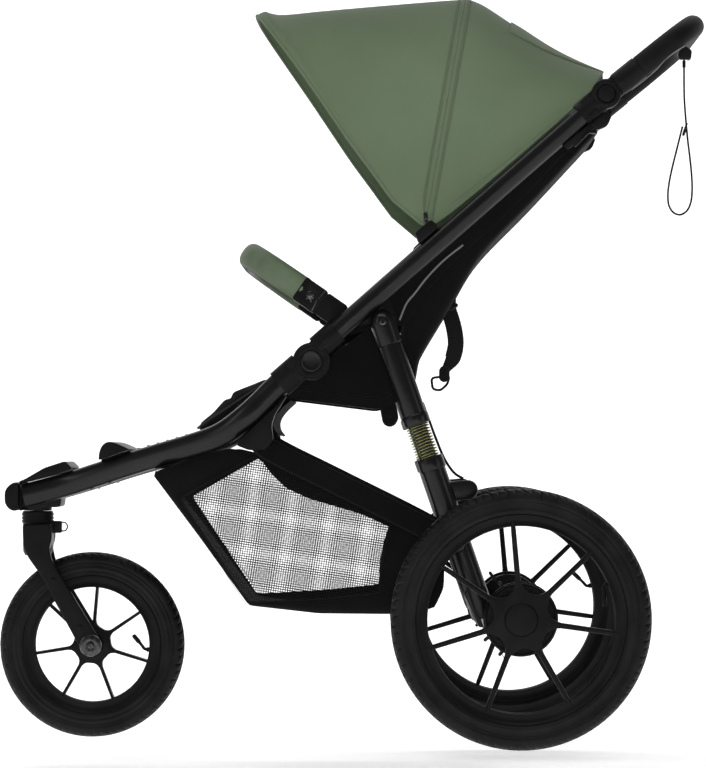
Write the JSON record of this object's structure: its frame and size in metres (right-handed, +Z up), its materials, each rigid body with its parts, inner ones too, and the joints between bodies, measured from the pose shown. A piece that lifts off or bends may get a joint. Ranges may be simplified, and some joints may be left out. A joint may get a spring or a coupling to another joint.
{
  "type": "baby stroller",
  "caption": "Three-wheeled jogging stroller with a folding tube frame, sprung rear legs, swivelling front wheel, reclining seat, folding canopy, bumper bar, basket and adjustable handle.",
  "frame": {"origin": "on the ground, under the middle of the object's box", "axes": "+X to the rear, +Y to the stroller's right, +Z up"},
  "size_m": [1.1013, 0.594, 1.159],
  "materials": {
    "frame_paint": "satin black",
    "black_plastic": "fine-grained matt",
    "wheel_plastic": "smooth matt black",
    "tyre": "matt with moulded tread",
    "black_fabric": "plain weave, matt",
    "canopy_fabric": "plain weave, matt, muted green",
    "grip_foam": "fine black leatherette over foam",
    "bumper_leather": "smooth muted green leatherette",
    "spring_steel": "bright wire",
    "cable_rubber": "satin black sheath"
  },
  "bodies": {
    "front_frame": {"front_tube_left": "frame_paint", "front_tube_right": "frame_paint", "head_bracket": "black_plastic", "nose_cover": "black_plastic", "foot_rest": "black_plastic", "calf_rest": "black_fabric", "hinge_housing_left": "black_plastic", "hinge_housing_right": "black_plastic", "hinge_pin_left": "frame_paint", "hinge_pin_right": "frame_paint", "lower_bracket_left": "black_plastic", "lower_bracket_right": "black_plastic", "seat_base": "black_fabric", "basket": "black_fabric"},
    "upper_frame": {"upper_tube_left": "frame_paint", "upper_tube_right": "frame_paint", "hinge_knuckle_left": "black_plastic", "hinge_knuckle_right": "black_plastic", "leg_bracket_left": "black_plastic", "leg_bracket_right": "black_plastic", "canopy_hub_left": "black_plastic", "canopy_hub_right": "black_plastic", "canopy_rear": "canopy_fabric", "handle_socket_left": "black_plastic", "handle_socket_right": "black_plastic", "bumper_socket_left": "black_plastic", "bumper_socket_right": "black_plastic"},
    "seat_back": {"seat_back": "black_fabric"},
    "canopy_front": {"canopy_front": "canopy_fabric"},
    "handle": {"handle_grip": "grip_foam", "handle_arm_left": "black_plastic", "handle_arm_right": "black_plastic", "wrist_strap": "black_fabric", "wrist_strap_clip": "black_plastic"},
    "handle_button_left": {"handle_button_left": "black_plastic"},
    "handle_button_right": {"handle_button_right": "black_plastic"},
    "bumper": {"bumper_bar": "bumper_leather", "bumper_end_left": "black_plastic", "bumper_end_right": "black_plastic"},
    "bumper_button_left": {"bumper_button_left": "black_plastic"},
    "bumper_button_right": {"bumper_button_right": "black_plastic"},
    "rear_leg": {"upper_leg_left": "frame_paint", "upper_leg_right": "frame_paint", "suspension_spring_left": "spring_steel", "suspension_spring_right": "spring_steel"},
    "rear_axle": {"lower_leg_left": "frame_paint", "lower_leg_right": "frame_paint", "rear_axle_beam": "frame_paint", "brake_cable": "cable_rubber"},
    "brake_pedal": {"brake_pedal": "black_plastic"},
    "lower_bars": {"lower_bar_left": "black_fabric", "lower_bar_right": "black_fabric"},
    "rear_wheel_left": {"rear_tyre_left": "tyre", "rear_rim_left": "wheel_plastic"},
    "rear_wheel_right": {"rear_tyre_right": "tyre", "rear_rim_right": "wheel_plastic"},
    "front_fork": {"fork": "frame_paint", "front_axle": "black_plastic"},
    "front_wheel": {"front_tyre": "tyre", "front_rim": "wheel_plastic"}
  },
  "joints": [
    {"name": "frame_fold", "type": "hinge", "parent": "front_frame", "child": "upper_frame", "pos_m": [-0.055, 0, 0.586], "axis": [0, 1, 0], "range_deg": [0, 85]},
    {"name": "rear_leg_fold", "type": "hinge", "parent": "upper_frame", "child": "rear_leg", "pos_m": [0.053, 0, 0.646], "axis": [0, 1, 0], "range_deg": [-55, 0]},
    {"name": "lower_bar_fold", "type": "hinge", "parent": "front_frame", "child": "lower_bars", "pos_m": [-0.138, 0, 0.467], "axis": [0, 1, 0], "range_deg": [0, 50]},
    {"name": "rear_suspension", "type": "slide", "parent": "rear_leg", "child": "rear_axle", "axis": [-0.3256, 0, 0.9455], "range_m": [0, 0.02], "stiffness_N_per_m": 9000, "springref_m": -0.025, "deforming": ["suspension_spring_left", "suspension_spring_right"]},
    {"name": "rear_wheel_spin_left", "type": "hinge", "parent": "rear_axle", "child": "rear_wheel_left", "pos_m": [0.261, -0.275, 0.1965], "axis": [0, 1, 0], "continuous": true},
    {"name": "rear_wheel_spin_right", "type": "hinge", "parent": "rear_axle", "child": "rear_wheel_right", "pos_m": [0.261, 0.275, 0.1965], "axis": [0, 1, 0], "continuous": true},
    {"name": "brake_pedal_press", "type": "hinge", "parent": "rear_axle", "child": "brake_pedal", "pos_m": [0.207, 0, 0.2], "axis": [0, 1, 0], "range_deg": [0, 25]},
    {"name": "front_swivel", "type": "hinge", "parent": "front_frame", "child": "front_fork", "pos_m": [-0.491, 0, 0.35], "axis": [0, 0, 1], "continuous": true},
    {"name": "front_wheel_spin", "type": "hinge", "parent": "front_fork", "child": "front_wheel", "pos_m": [-0.4045, 0, 0.1455], "axis": [0, 1, 0], "continuous": true},
    {"name": "handle_adjust", "type": "hinge", "parent": "upper_frame", "child": "handle", "pos_m": [0.393, 0, 0.993], "axis": [0, 1, 0], "range_deg": [-40, 45]},
    {"name": "handle_button_push_left", "type": "slide", "parent": "upper_frame", "child": "handle_button_left", "axis": [0, 1, 0], "range_m": [0, 0.004], "stiffness_N_per_m": 500},
    {"name": "handle_button_push_right", "type": "slide", "parent": "upper_frame", "child": "handle_button_right", "axis": [0, -1, 0], "range_m": [0, 0.004], "stiffness_N_per_m": 500},
    {"name": "bumper_release", "type": "slide", "parent": "upper_frame", "child": "bumper", "axis": [-0.8213, 0, 0.5705], "range_m": [0, 0.03]},
    {"name": "bumper_button_push_left", "type": "slide", "parent": "bumper", "child": "bumper_button_left", "axis": [0, 1, 0], "range_m": [0, 0.0025], "stiffness_N_per_m": 500},
    {"name": "bumper_button_push_right", "type": "slide", "parent": "bumper", "child": "bumper_button_right", "axis": [0, -1, 0], "range_m": [0, 0.0025], "stiffness_N_per_m": 500},
    {"name": "canopy_fold", "type": "hinge", "parent": "upper_frame", "child": "canopy_front", "pos_m": [0.118, 0, 0.775], "axis": [0, 1, 0], "range_deg": [0, 40]},
    {"name": "seat_recline", "type": "hinge", "parent": "upper_frame", "child": "seat_back", "pos_m": [0.106, 0, 0.556], "axis": [0, -1, 0], "range_deg": [-28, 0]}
  ],
  "couplings": [
    {"joint": "rear_leg_fold", "follows": "frame_fold", "ratio": -0.63},
    {"joint": "lower_bar_fold", "follows": "frame_fold", "ratio": 0.57}
  ]
}
